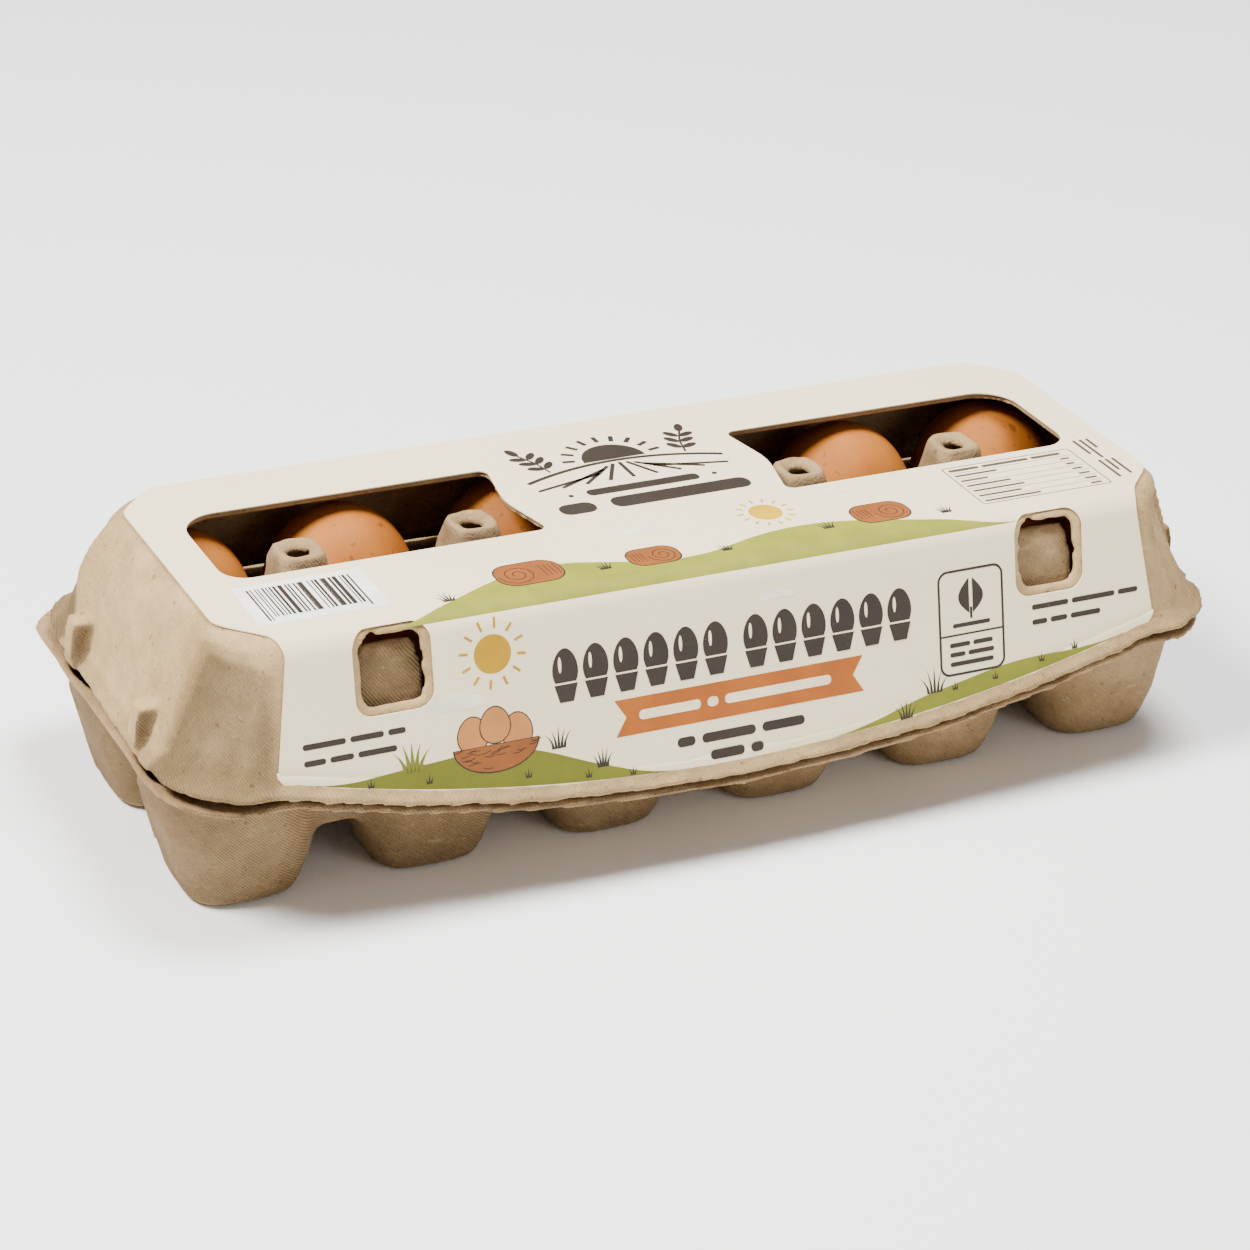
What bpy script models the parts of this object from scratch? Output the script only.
"""A shut egg carton for two rows of six eggs: a moulded pulp tray, the eggs in it, a hinged pulp lid
with two viewing windows and two lock holes, and the paper label glued over the lid's top and front.
Metres, +Z up. The tray's feet stand on z = 0, +X runs along the rows and -Y is the front."""

import math
import random

import bmesh
import bpy
from mathutils import Matrix, Vector

MM = 0.001

# The tray: cups, partitions and posts
COLUMNS = 6
PITCH = 49.0 * MM
ROW_Y = 26.0 * MM
WALL = 1.8 * MM
CUP_FOOT = 14.4 * MM
CUP_DRAFT = 0.26
CUP_SQUARE = 3.6
FOOT_FILLET = 7.0 * MM
RIM = 23.0 * MM
RIM_CORNER = 15.0 * MM
UPRIGHT_FROM = 23.9 * MM
UPRIGHT_SLOPE = 8.0
WEB_Z = 15.0 * MM
MID_WEB_Z = 21.0 * MM
MOUND_Z = 30.0 * MM
MOUND_CORE = 9.0 * MM
MOUND_SLOPE = 2.0
RIDGE_ROUND = 5.0 * MM
PAD_Z = 8.0 * MM
PAD_ROUND = 7.6 * MM
CELL_RINGS = {2: PAD_ROUND, 4: 12.0 * MM, 6: 15.2 * MM, 8: 19.2 * MM}
CELL_POWERS = {2: 2.0, 4: 2.5, 6: 3.4, 8: 4.2}

# The five posts: hollow square pillars with a torn hole on top
POST_PITCH = 47.0 * MM
POST_Y = 3.0 * MM
POST_TOP = 74.8 * MM
MIDDLE_POST_TOP = 73.0 * MM
POST_SHOULDER = 2.0 * MM
POST_SECTIONS = ((16.0 * MM, 9.6 * MM, 5.0 * MM), (40.0 * MM, 7.9 * MM, 4.4 * MM))
POST_HEAD = (5.9 * MM, 3.2 * MM)
POST_HOLE = 1.7 * MM
CELL_STEPS = 10

# The parting line between tray and lid, which dips along the front
PART_Z = 39.0 * MM
PART_LOW = 23.4 * MM
DIP_HALF = 122.0 * MM
SEAM = 0.35 * MM
END_GAP = 2.2 * MM
FLANGE_X = 147.4 * MM
FLANGE_Y = 59.6 * MM
FLANGE_BOW = 4.2 * MM
FLANGE_CORNER_FRONT = 26.0 * MM
FLANGE_CORNER_BACK = 15.0 * MM

# The hinge bead along the back
HINGE_Y = 63.4 * MM
BEAD = 1.2 * MM
BEAD_HALF = 128.0 * MM

# The lid: a top face, four leaning walls and a corner post at each chamfer
TOP_Z = 75.5 * MM
TOP_FRONT = 49.2 * MM
TOP_BACK = 43.5 * MM
TOP_END = 132.3 * MM
LEAN_FRONT = 0.24
LEAN_BACK = 0.48
LEAN_END = 0.37
CHAMFER_X = 120.0 * MM
CHAMFER_SPREAD = 0.24
CHAMFER_FRONT_Y = 35.0 * MM
CHAMFER_BACK_Y = 31.0 * MM
EDGE_ROUND = 4.2 * MM
BULGE_TOP = 1.6 * MM
BULGE_FOOT = 4.6 * MM
WALL_FOOT = 3.2 * MM
LIP = 3.0 * MM
LIP_BACK = 2.0 * MM
LIP_END = 3.4 * MM
LUG_Y = 24.0 * MM
LUG_THICK = 5.2 * MM
LUG_TOP = 52.0 * MM
LUG_DEEP = 3.6 * MM

# Windows in the top face and lock holes in the front wall
WINDOW_IN = 34.2 * MM
WINDOW_WAIST = 37.6 * MM
WINDOW_OUT = 119.4 * MM
WINDOW_FRONT = -15.3 * MM
WINDOW_BACK = 22.9 * MM
LOCK_X = 91.1 * MM
LOCK_Z = 64.9 * MM
LOCK_WIDE = 15.5 * MM
LOCK_TALL = 16.4 * MM
LOCK_CORNER = 3.0 * MM
LABEL_HOLE_GROW = 4.8 * MM

# The lock tongues of the tray behind the holes
TONGUE_WIDE = 19.0 * MM
TONGUE_TOP = 70.0 * MM
TONGUE_GAP = 1.4 * MM
KNOB_WIDE = 12.5 * MM
KNOB_LOW = 58.6 * MM
KNOB_HIGH = 69.0 * MM
KNOB_DEEP = 5.0 * MM

# The label
LABEL_GAP = 0.3 * MM
LABEL_THICK = 0.35 * MM
LABEL_END = 130.2 * MM
LABEL_BACK = 42.4 * MM
LABEL_FRONT_TOP = 118.0 * MM
LABEL_FRONT_LOW = 122.4 * MM
LABEL_FOOT = 3.4 * MM

# The eggs
EGG_RADIUS = 21.0 * MM
EGG_TALL = 60.6 * MM
EGG_FOOT = 10.3 * MM
EGG_BLUNT = 0.09
EGG_LEAN = 9.0
EGG_LEAN_FOOT = 1.6 * MM
EGG_SEGMENTS = 14
EGG_RINGS = 9
EGG_SIZE_SPREAD = 0.012
EGG_SEED = 12

SHARP_ANGLE = 40.0
PULP = (0.55, 0.43, 0.29, 1.0)
PAPER = (0.84, 0.80, 0.71, 1.0)
SHELL = (0.62, 0.27, 0.12, 1.0)


def smooth_step(low, high, value):
    share = min(1.0, max(0.0, (value - low) / (high - low)))
    return share * share * (3.0 - 2.0 * share)


def smooth_max(a, b, width):
    """The larger of a and b, with the change from one to the other rounded over width."""
    near = max(width - abs(a - b), 0.0) / width
    return max(a, b) + near * near * width / 4.0


def smooth_min(a, b, width):
    return -smooth_max(-a, -b, width)


def mix(a, b, share):
    return a + (b - a) * share


def parting_z(x, y):
    """Height of the line where lid and tray meet: level at the ends and back, dipping at the front."""
    dip = smooth_max(0.0, 1.0 - (x / DIP_HALF) ** 2, 0.12)
    return PART_Z - (PART_Z - PART_LOW) * dip * smooth_step(15.0 * MM, 45.0 * MM, -y)


def tray_flange_z(x, y):
    """Upper face of the tray's flange, which hangs clear of the lid at both ends."""
    return parting_z(x, y) - SEAM - END_GAP * smooth_step(118.0 * MM, 135.0 * MM, abs(x))


def cup_centre(x, y):
    column = min(COLUMNS - 1, max(0, math.floor(x / PITCH + COLUMNS / 2)))
    return (column - (COLUMNS - 1) / 2) * PITCH, ROW_Y if y > POST_Y else -ROW_Y


def cup_z(x, y):
    """Underside of the nearest cup: a flat foot, a rounded edge and a leaning wall that turns upright."""
    cx, cy = cup_centre(x, y)
    dx, dy = abs(x - cx), abs(y - cy)
    square = (dx**CUP_SQUARE + dy**CUP_SQUARE) ** (1.0 / CUP_SQUARE)
    leaning = smooth_max(0.0, (square - CUP_FOOT) / CUP_DRAFT, FOOT_FILLET)
    upright = PART_Z + UPRIGHT_SLOPE * (math.hypot(dx, dy) - UPRIGHT_FROM)
    return max(leaning, upright)


def mound_z(x, y):
    """Underside of the mound that the nearest post stands on."""
    limit = COLUMNS // 2 - 1
    column = min(limit, max(-limit, round(x / POST_PITCH)))
    away = math.hypot(x - column * POST_PITCH, y - POST_Y)
    return MOUND_Z - MOUND_SLOPE * max(0.0, away - MOUND_CORE)


def pad_z(x, y):
    """Underside of the pad pushed up inside a cup's foot, which the egg rests on."""
    cx, cy = cup_centre(x, y)
    away = math.hypot(x - cx, y - cy)
    return PAD_Z * (1.0 - smooth_step(0.0, PAD_ROUND, away))


def tray_z(x, y):
    """Underside of the tray's sheet at any point in plan."""
    past_end = smooth_step(8.0 * MM, 19.0 * MM, abs(x) - (COLUMNS - 1) / 2 * PITCH)
    past_row = smooth_step(8.0 * MM, 19.0 * MM, abs(y) - ROW_Y)
    outside = 1.0 - (1.0 - past_end) * (1.0 - past_row)
    web = mix(MID_WEB_Z, WEB_Z, smooth_step(0.0, 14.0 * MM, abs(y - POST_Y)))
    top = mix(web, tray_flange_z(x, y) - WALL, outside)
    if outside < 1.0:
        top = smooth_max(top, mound_z(x, y), RIDGE_ROUND)
    return smooth_min(cup_z(x, y), top, RIDGE_ROUND) + pad_z(x, y)


def round_corner(x, y, reach_x, reach_y, radius):
    """Pulls a point of a rectangle's edge onto the fillet of the rectangle's corner."""
    inner_x, inner_y = reach_x - radius, reach_y - radius
    if abs(x) > inner_x and abs(y) > inner_y:
        arm = Vector((abs(x) - inner_x, abs(y) - inner_y)).normalized() * radius
        x = math.copysign(inner_x + arm.x, x)
        y = math.copysign(inner_y + arm.y, y)
    return x, y


def flange_outline(share_x, share_y):
    """Point of the flange's outer edge for a point of the unit square's edge."""
    x = share_x * FLANGE_X
    bow = FLANGE_BOW * smooth_max(0.0, 1.0 - (x / DIP_HALF) ** 2, 0.12)
    depth = HINGE_Y if share_y > 0 else FLANGE_Y + bow
    radius = FLANGE_CORNER_BACK if share_y > 0 else FLANGE_CORNER_FRONT
    return round_corner(x, share_y * depth, FLANGE_X, depth, radius)


def spread(share):
    """Moves a cell's grid lines towards its corners, where the posts stand."""
    return share * (1.0 + 0.35 * (1.0 - abs(share)))


def ring_point(u, v, half_x, half_y):
    """Plan point of a cell's grid node: round rings near the cup's foot, square at the cell's edge."""
    level = max(abs(u), abs(v))
    if level == 0:
        return 0.0, 0.0
    side_u, side_v = u / level, v / level
    edge = Vector((spread(side_u) * half_x, spread(side_v) * half_y))
    if level > 0.99:
        return edge.x, edge.y
    power = CELL_POWERS[round(level * CELL_STEPS)]
    angle = math.atan2(side_v, side_u)
    c, s = math.cos(angle), math.sin(angle)
    unit = 1.0 / (abs(c) ** power + abs(s) ** power) ** (1.0 / power)
    radius = CELL_RINGS[round(level * CELL_STEPS)]
    return c * unit * radius, s * unit * radius


def new_object(name, mesh, colour, roughness):
    mesh.shade_smooth()
    mesh.set_sharp_from_angle(angle=math.radians(SHARP_ANGLE))
    obj = bpy.data.objects.new(name, mesh)
    material = bpy.data.materials.new(name)
    material.use_nodes = True
    shader = material.node_tree.nodes["Principled BSDF"]
    shader.inputs["Base Color"].default_value = colour
    shader.inputs["Roughness"].default_value = roughness
    shader.inputs["Metallic"].default_value = 0.0
    mesh.materials.append(material)
    bpy.data.collections["egg_carton"].objects.link(obj)
    return obj


def mesh_from(build, name):
    """A mesh filled by build(bm)."""
    bm = bmesh.new()
    build(bm)
    mesh = bpy.data.meshes.new(name)
    bm.to_mesh(mesh)
    bm.free()
    return mesh


def helper(name, mesh, collection):
    """An object that only cuts or joins another one."""
    obj = bpy.data.objects.new(name, mesh)
    obj.hide_render = True
    obj.display_type = "WIRE"
    bpy.data.collections[collection].objects.link(obj)
    return obj


def add_solidify(obj, thickness, offset):
    modifier = obj.modifiers.new("wall", "SOLIDIFY")
    modifier.thickness = thickness
    modifier.offset = offset
    modifier.use_even_offset = False


def add_boolean(obj, collection, operation):
    modifier = obj.modifiers.new(collection, "BOOLEAN")
    modifier.operand_type = "COLLECTION"
    modifier.collection = bpy.data.collections[collection]
    modifier.operation = operation
    modifier.solver = "EXACT"


def prism(bm, outline, place, low, high):
    """A straight prism on a 2D outline; place(u, v, w) gives the point in space."""
    foot = [bm.verts.new(place(u, v, low)) for u, v in outline]
    head = [bm.verts.new(place(u, v, high)) for u, v in outline]
    bm.faces.new(reversed(foot))
    bm.faces.new(head)
    for i, corner in enumerate(foot):
        j = (i + 1) % len(foot)
        bm.faces.new((corner, foot[j], head[j], head[i]))
    bmesh.ops.recalc_face_normals(bm, faces=bm.faces)


def rounded(corners, steps=4):
    """A closed outline through (x, y, radius) corners, each with its own fillet."""
    outline = []
    for i, (x, y, radius) in enumerate(corners):
        corner = Vector((x, y))
        before = Vector(corners[i - 1][:2]) - corner
        after = Vector(corners[(i + 1) % len(corners)][:2]) - corner
        half = before.angle(after) / 2
        arm = radius / math.tan(half)
        centre = corner + (before.normalized() + after.normalized()).normalized() * (radius / math.sin(half))
        first = corner + before.normalized() * arm - centre
        last = corner + after.normalized() * arm - centre
        turn = first.angle_signed(last)
        for k in range(steps + 1):
            spoke = Matrix.Rotation(-turn * k / steps, 2) @ first
            outline.append(tuple(centre + spoke))
    return outline


def window_outline(side):
    """A viewing window on the top face: rounded at the outer end, waisted towards the middle panel."""
    middle = (WINDOW_FRONT + WINDOW_BACK) / 2
    corners = [
        (WINDOW_OUT, WINDOW_BACK, 10.0 * MM),
        (WINDOW_IN, WINDOW_BACK, 2.4 * MM),
        (WINDOW_WAIST, middle, 24.0 * MM),
        (WINDOW_IN - 0.8 * MM, WINDOW_FRONT, 2.4 * MM),
        (WINDOW_OUT, WINDOW_FRONT, 7.0 * MM),
    ]
    return [(side * x, y) for x, y in rounded(corners)]


def lock_outline(side, grow):
    """A lock hole seen from the front, as (x, z)."""
    half_x, half_z = (LOCK_WIDE + grow) / 2, (LOCK_TALL + grow * 0.85) / 2
    radius = LOCK_CORNER + grow * 0.3
    ends = ((half_x, half_z), (-half_x, half_z), (-half_x, -half_z), (half_x, -half_z))
    return [(side * LOCK_X + x, LOCK_Z + z) for x, z in rounded([(x, z, radius) for x, z in ends])]


def wall_y_front(z):
    return -(TOP_FRONT + LEAN_FRONT * (TOP_Z - z))


def lid_perimeter():
    """Stations once round the lid, as (side, share): sides are front, right, back, left and corners."""
    order = (("front", 14), ("front_right", 6), ("right", 6), ("back_right", 6))
    order += (("back", 10), ("back_left", 6), ("left", 6), ("front_left", 6))
    return [(side, i / count) for side, count in order for i in range(count)]


def lid_corner(x_sign, y_sign, z):
    """The two ends of a corner post's face at height z: on the end wall and on the long wall."""
    drop = TOP_Z - z
    on_end = Vector((x_sign * (TOP_END + LEAN_END * drop), -CHAMFER_FRONT_Y))
    on_long = Vector((x_sign * (CHAMFER_X + CHAMFER_SPREAD * drop), wall_y_front(z)))
    if y_sign > 0:
        on_end.y = CHAMFER_BACK_Y + 0.25 * drop
        on_long.y = TOP_BACK + LEAN_BACK * drop
    return on_end, on_long


def lid_plan(side, share, z):
    """Plan point of the lid's outer wall at a station and height."""
    if "_" not in side:
        rows = {
            "front": (lid_corner(-1, -1, z)[1], lid_corner(1, -1, z)[1]),
            "right": (lid_corner(1, -1, z)[0], lid_corner(1, 1, z)[0]),
            "back": (lid_corner(1, 1, z)[1], lid_corner(-1, 1, z)[1]),
            "left": (lid_corner(-1, 1, z)[0], lid_corner(-1, -1, z)[0]),
        }
        return rows[side][0].lerp(rows[side][1], share)
    x_sign = 1 if "right" in side else -1
    y_sign = 1 if "back" in side else -1
    on_end, on_long = lid_corner(x_sign, y_sign, z)
    start, stop = (on_long, on_end) if x_sign * y_sign < 0 else (on_end, on_long)
    along = stop - start
    outward = Vector((along.y, -along.x)).normalized()
    depth = (TOP_Z - z) / (TOP_Z - PART_Z)
    bulge = mix(BULGE_TOP, BULGE_FOOT, depth)
    return start + along * share + outward * bulge * 4.0 * share * (1.0 - share)


def lid_foot_z(side, share):
    """Height at which the lid's wall turns into its lip."""
    low = lid_plan(side, share, PART_Z)
    if side == "front":
        low.y = -FLANGE_Y
    return parting_z(low.x, low.y) + WALL_FOOT


def outward_of(points, i):
    """Outward direction in plan at point i of a counter-clockwise outline."""
    along = points[(i + 1) % len(points)] - points[i - 1]
    return Vector((along.y, -along.x)).normalized()


def lid_rings():
    """Rings of points down the lid's outer face, from its flat top to the edge of its lip."""
    stations = lid_perimeter()
    apex = [lid_plan(side, share, TOP_Z) for side, share in stations]
    rings = []
    for inset, drop in ((EDGE_ROUND, 0.0), (EDGE_ROUND * 0.3, EDGE_ROUND * 0.24)):
        ring = [p - outward_of(apex, i) * inset for i, p in enumerate(apex)]
        rings.append([(p.x, p.y, TOP_Z - drop) for p in ring])
    for level in (0.0, 0.5, 1.0):
        ring = []
        for side, share in stations:
            z = mix(TOP_Z - EDGE_ROUND, lid_foot_z(side, share), level)
            p = lid_plan(side, share, z)
            ring.append((p.x, p.y, z))
        rings.append(ring)
    foot = [Vector(p[:2]) for p in rings[-1]]
    for out, rise in ((0.25, WALL_FOOT * 0.3), (1.0, 0.0)):
        ring = []
        for i, p in enumerate(foot):
            reach = {"back": LIP_BACK, "front": LIP}.get(stations[i][0], LIP_END)
            q = p + outward_of(foot, i) * reach * out
            ring.append((q.x, q.y, rings[4][i][2] - WALL_FOOT + SEAM + WALL + rise))
        rings.append(ring)
    return rings


def make_lid():
    def build(bm):
        rings = [[bm.verts.new(p) for p in ring] for ring in lid_rings()]
        bm.faces.new(rings[0])
        for upper, lower in zip(rings, rings[1:]):
            for i, corner in enumerate(upper):
                j = (i + 1) % len(upper)
                bm.faces.new((corner, lower[i], lower[j], upper[j]))

    lid = new_object("lid", mesh_from(build, "lid"), PULP, 0.95)
    add_solidify(lid, WALL, -1.0)
    for side in (-1, 1):
        window = mesh_from(
            lambda bm: prism(bm, window_outline(side), lambda u, v, w: (u, v, w), 66 * MM, 84 * MM), "window"
        )
        helper("window_cutter", window, "lid_cutters")
        lock = mesh_from(
            lambda bm: prism(bm, lock_outline(side, 0.0), lambda u, v, w: (u, w, v), -66 * MM, -42 * MM), "lock"
        )
        helper("lock_cutter", lock, "lid_cutters")
        for y in (-LUG_Y, LUG_Y):
            helper("lug", lug_mesh(side, y), "lid_lugs")
    add_boolean(lid, "lid_cutters", "DIFFERENCE")
    add_boolean(lid, "lid_lugs", "UNION")


def lug_mesh(side, y):
    """A small upright fin on the lid's end wall, standing on the lip."""
    drop = TOP_Z - LUG_TOP
    wall_top = TOP_END + LEAN_END * drop
    lip_top = PART_Z + SEAM + WALL
    wall_foot = TOP_END + LEAN_END * (TOP_Z - PART_Z - WALL_FOOT)
    inside = 0.6 * WALL
    outline = [
        (wall_top - inside, LUG_TOP),
        (wall_top + LUG_DEEP * 0.8, LUG_TOP - 0.8 * MM),
        (wall_foot + LUG_DEEP * 0.7, lip_top + 3.0 * MM),
        (wall_foot + LUG_DEEP * 0.7, lip_top - inside),
        (wall_foot - 1.0 * MM, lip_top - inside),
    ]

    def place(u, v, w):
        return side * u, y + w, v

    return mesh_from(lambda bm: prism(bm, outline, place, -LUG_THICK / 2, LUG_THICK / 2), "lug")


def tray_grid(bm):
    """The tray's underside as one sheet: a ringed grid for each cup and a flange round them all."""
    steps = CELL_STEPS
    columns, rows = COLUMNS * steps, 2 * steps
    reach_x, reach_y = (COLUMNS - 1) / 2 * PITCH + RIM, ROW_Y + RIM
    grid = {}
    for i in range(columns + 1):
        for j in range(rows + 1):
            column, row = min(i // steps, COLUMNS - 1), min(j // steps, 1)
            u = (i - column * steps) / steps * 2 - 1
            v = (j - row * steps) / steps * 2 - 1
            cx = (column - (COLUMNS - 1) / 2) * PITCH
            cy = ROW_Y if row else -ROW_Y
            at_end = (column == 0 and u < 0) or (column == COLUMNS - 1 and u > 0)
            half_x = RIM if at_end else PITCH / 2
            inner = (v < 0) if row else (v > 0)
            half_y = abs(cy - POST_Y) if inner else RIM
            dx, dy = ring_point(round(u, 6), round(v, 6), half_x, half_y)
            x, y = cx + dx, cy + dy
            if i in (0, columns) or j in (0, rows):
                x, y = round_corner(x, y, reach_x, reach_y, RIM_CORNER)
            grid[i, j] = bm.verts.new((x, y, tray_z(x, y)))
    for i in range(columns):
        for j in range(rows):
            bm.faces.new((grid[i, j], grid[i + 1, j], grid[i + 1, j + 1], grid[i, j + 1]))
    edge = [(i, 0) for i in range(columns)] + [(columns, j) for j in range(rows)]
    edge += [(i, rows) for i in range(columns, 0, -1)] + [(0, j) for j in range(rows, 0, -1)]
    outer = []
    for key in edge:
        x, y, _ = grid[key].co
        share = max(abs(x) / reach_x, abs(y) / reach_y)
        x, y = flange_outline(x / reach_x / share, y / reach_y / share)
        outer.append(bm.verts.new((x, y, tray_flange_z(x, y) - WALL)))
    for k, key in enumerate(edge):
        m = (k + 1) % len(edge)
        bm.faces.new((grid[key], outer[k], outer[m], grid[edge[m]]))
    bmesh.ops.recalc_face_normals(bm, faces=bm.faces)
    if sum(face.normal.z for face in bm.faces) < 0:
        bmesh.ops.reverse_faces(bm, faces=bm.faces)


def tongue_mesh(side):
    """A lock tongue: it rises from the front flange behind the lid's wall and bulges at the lock hole."""
    foot = tray_flange_z(LOCK_X, -FLANGE_Y) - WALL * 0.5

    def face_y(z):
        return wall_y_front(z) + (WALL + TONGUE_GAP) * 1.03

    def blade(bm):
        front = [(face_y(foot), foot), (face_y(TONGUE_TOP), TONGUE_TOP)]
        outline = front + [(y + WALL, z) for y, z in reversed(front)]
        half = TONGUE_WIDE / 2
        prism(bm, outline, lambda u, v, w: (side * LOCK_X + w, u, v), -half, half)

    def knob(bm):
        middle = (KNOB_LOW + KNOB_HIGH) / 2
        tall = KNOB_HIGH - KNOB_LOW
        bmesh.ops.create_cube(bm, size=1.0)
        bmesh.ops.bevel(bm, geom=bm.edges[:], offset=0.16, segments=2, profile=0.6, affect="EDGES")
        for vert in bm.verts:
            x, y, z = vert.co
            height = middle + z * tall
            out = face_y(height) - 0.7 * MM
            vert.co = (side * LOCK_X + x * KNOB_WIDE, out + (y + 0.5) * KNOB_DEEP, height)

    return mesh_from(blade, "tongue"), mesh_from(knob, "knob")


def square_ring(bm, half, corner, x, z):
    """A ring of points on a rounded square round a post's axis."""
    ends = ((half, half), (-half, half), (-half, -half), (half, -half))
    outline = rounded([(u, v, corner) for u, v in ends], steps=2)
    return [bm.verts.new((x + u, POST_Y + v, z)) for u, v in outline]


def bridge(bm, ring, other):
    for i, corner in enumerate(ring):
        j = (i + 1) % len(ring)
        bm.faces.new((corner, ring[j], other[j], other[i]))


def post_rings(bm, x, inset):
    """Rings up a post's side; inset moves them in for the hollow. The middle post is under the lid."""
    top = POST_TOP if x else MIDDLE_POST_TOP
    sections = POST_SECTIONS + ((top - POST_SHOULDER, *POST_HEAD),)
    rings = [square_ring(bm, half - inset, fillet - inset * 0.8, x, z) for z, half, fillet in sections]
    if not inset:
        half, fillet = POST_HEAD
        rings.append(square_ring(bm, half - POST_SHOULDER, fillet - POST_SHOULDER, x, top))
    return rings


def hole_ring(bm, ring, x):
    """A small round ring level with the given one, round the same axis."""
    points = []
    for vert in ring:
        spoke = (vert.co - Vector((x, POST_Y, vert.co.z))).normalized() * POST_HOLE
        points.append(bm.verts.new((x + spoke.x, POST_Y + spoke.y, vert.co.z)))
    return points


def post_shell(bm, x):
    outer = post_rings(bm, x, 0.0)
    inner = post_rings(bm, x, WALL)
    rings = inner + [hole_ring(bm, inner[-1], x), hole_ring(bm, outer[-1], x)] + outer[::-1]
    for ring, following in zip(rings, rings[1:] + rings[:1]):
        bridge(bm, ring, following)
    bmesh.ops.recalc_face_normals(bm, faces=bm.faces)


def post_core(bm, x):
    """The core that opens the tray's sheet under a post; it ends inside the post's wall."""
    rings = post_rings(bm, x, WALL / 2)
    _, half, fillet = POST_SECTIONS[0]
    foot = square_ring(bm, half - WALL / 2, fillet - WALL * 0.4, x, 0.0)
    bm.faces.new(foot)
    for lower, upper in zip([foot] + rings, rings):
        bridge(bm, lower, upper)
    bm.faces.new(rings[-1])
    bmesh.ops.recalc_face_normals(bm, faces=bm.faces)


def make_tray():
    tray = new_object("tray", mesh_from(tray_grid, "tray"), PULP, 0.95)
    add_solidify(tray, WALL, 1.0)
    for side in (-1, 1):
        for mesh in tongue_mesh(side):
            helper("tongue", mesh, "tray_joins")
    bead_z = PART_Z

    def bead(bm):
        bmesh.ops.create_cone(
            bm, cap_ends=True, segments=8, radius1=BEAD, radius2=BEAD, depth=2 * BEAD_HALF,
            matrix=Matrix.Translation((0, HINGE_Y, bead_z)) @ Matrix.Rotation(math.pi / 2, 4, "Y"),
        )

    helper("bead", mesh_from(bead, "bead"), "tray_joins")
    for column in range(1 - COLUMNS // 2, COLUMNS // 2):
        x = column * POST_PITCH
        helper("post_core", mesh_from(lambda bm: post_core(bm, x), "post_core"), "tray_cores")
        helper("post", mesh_from(lambda bm: post_shell(bm, x), "post"), "tray_joins")
    add_boolean(tray, "tray_cores", "DIFFERENCE")
    add_boolean(tray, "tray_joins", "UNION")


def label_half_top(y):
    """Half the label's width on the top face: its corners are cut to clear the lid's corner posts."""
    back_cut = max(0.0, y - CHAMFER_BACK_Y)
    front_cut = max(0.0, -y - CHAMFER_FRONT_Y)
    return LABEL_END - back_cut * 0.95 - min(front_cut * 1.0, LABEL_END - LABEL_FRONT_TOP)


def label_foot_z(x):
    """Height of the label's lower edge, which follows the lid's lip."""
    return parting_z(x, -FLANGE_Y) + LABEL_FOOT


def label_rows():
    """Rows of points across the label, from its back edge over the crease to its curved foot."""
    count = 12
    shares = [2 * i / count - 1 for i in range(count + 1)]
    rows = []
    ys = (LABEL_BACK, LABEL_BACK - 1.6 * MM, CHAMFER_BACK_Y, 0.0, -CHAMFER_FRONT_Y, -40 * MM, -(TOP_FRONT - EDGE_ROUND))
    for k, y in enumerate(ys):
        half = label_half_top(y) - (1.2 * MM if k == 0 else 0.0)
        rows.append([(s * half, y, TOP_Z + LABEL_GAP) for s in shares])
    shoulder_y = -(TOP_FRONT - EDGE_ROUND * 0.3) - LABEL_GAP * 0.6
    shoulder_z = TOP_Z - EDGE_ROUND * 0.24 + LABEL_GAP * 0.8
    rows.append([(s * LABEL_FRONT_TOP, shoulder_y, shoulder_z) for s in shares])
    corner = 3.4 * MM
    for level, rise in ((0.0, 0.0), (0.35, 0.0), (0.7, 0.0), (1.0, corner), (1.0, corner * 0.3), (1.0, 0.0)):
        row = []
        for s in shares:
            half = mix(LABEL_FRONT_TOP, LABEL_FRONT_LOW, level)
            if level == 1.0:
                half -= corner - math.sqrt(corner**2 - (corner - rise) ** 2)
            x = s * half
            z = mix(TOP_Z - EDGE_ROUND, label_foot_z(x) + rise, level)
            row.append((x, wall_y_front(z) - LABEL_GAP * 1.03, z))
        rows.append(row)
    return rows


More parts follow.
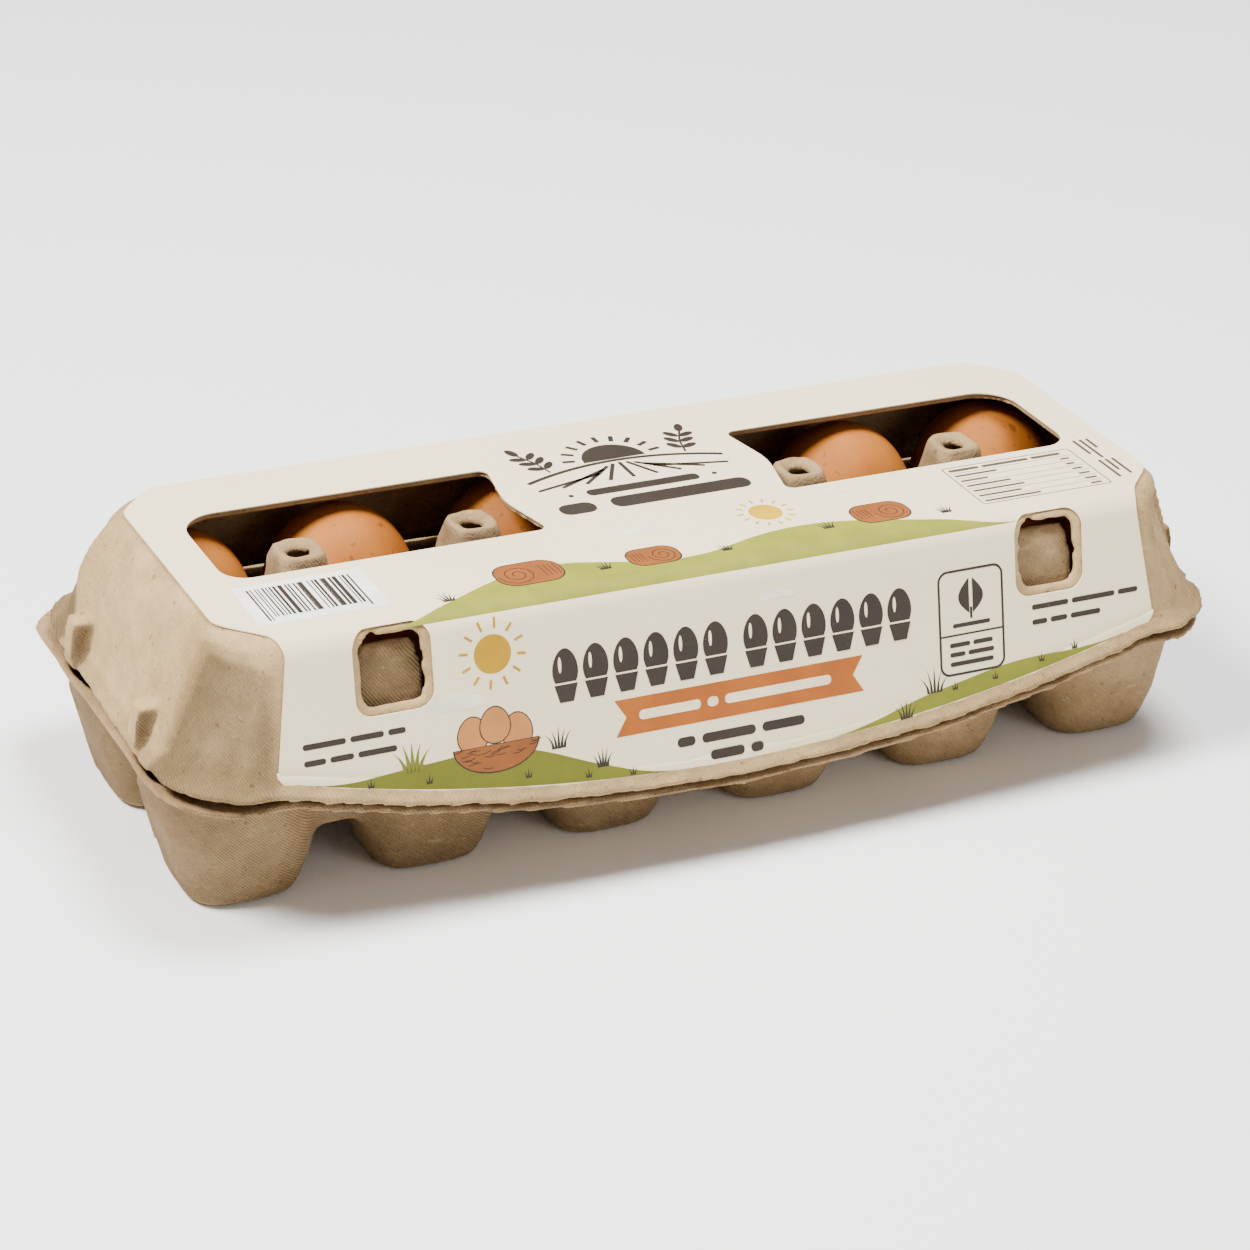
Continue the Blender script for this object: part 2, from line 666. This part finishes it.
def make_label():
    def build(bm):
        rows = [[bm.verts.new(p) for p in row] for row in label_rows()]
        for upper, lower in zip(rows, rows[1:]):
            for i in range(len(upper) - 1):
                bm.faces.new((upper[i], lower[i], lower[i + 1], upper[i + 1]))

    label = new_object("label", mesh_from(build, "label"), PAPER, 0.6)
    add_solidify(label, LABEL_THICK, 1.0)
    for side in (-1, 1):
        window = mesh_from(
            lambda bm: prism(bm, window_outline(side), lambda u, v, w: (u, v, w), 66 * MM, 84 * MM), "window"
        )
        helper("label_window_cutter", window, "label_cutters")
        lock = mesh_from(
            lambda bm: prism(
                bm, lock_outline(side, LABEL_HOLE_GROW), lambda u, v, w: (u, w, v), -66 * MM, -42 * MM
            ),
            "lock",
        )
        helper("label_lock_cutter", lock, "label_cutters")
    add_boolean(label, "label_cutters", "DIFFERENCE")


def egg_mesh(grow):
    """A hen's egg, blunt end up, standing on its tip at the origin."""

    def build(bm):
        bmesh.ops.create_uvsphere(bm, u_segments=EGG_SEGMENTS, v_segments=EGG_RINGS, radius=1.0)
        for vert in bm.verts:
            t = vert.co.z
            wide = EGG_RADIUS * grow * (1.0 + EGG_BLUNT * t) / (1.0 + EGG_BLUNT**2 / 2)
            vert.co = (vert.co.x * wide, vert.co.y * wide, (t + 1.0) * EGG_TALL * grow / 2)

    return mesh_from(build, "egg")


def make_eggs():
    draw = random.Random(EGG_SEED)
    for row, y in (("front", -ROW_Y), ("back", ROW_Y)):
        for column in range(COLUMNS):
            grow = 1.0 - EGG_SIZE_SPREAD * draw.random()
            end = {0: -1, COLUMNS - 1: 1}.get(column, 0)
            egg = new_object(f"egg_{row}_{column + 1}", egg_mesh(grow), SHELL, 0.5)
            x = (column - (COLUMNS - 1) / 2) * PITCH + end * EGG_LEAN_FOOT
            egg.location = (x, y, EGG_FOOT)
            egg.rotation_euler = (0.0, -end * math.radians(EGG_LEAN), 0.0)


def main():
    for obj in list(bpy.data.objects):
        bpy.data.objects.remove(obj)
    for name in ("egg_carton", "lid_cutters", "lid_lugs", "tray_cores", "tray_joins", "label_cutters"):
        bpy.context.scene.collection.children.link(bpy.data.collections.new(name))
    make_tray()
    make_eggs()
    make_lid()
    make_label()


main()
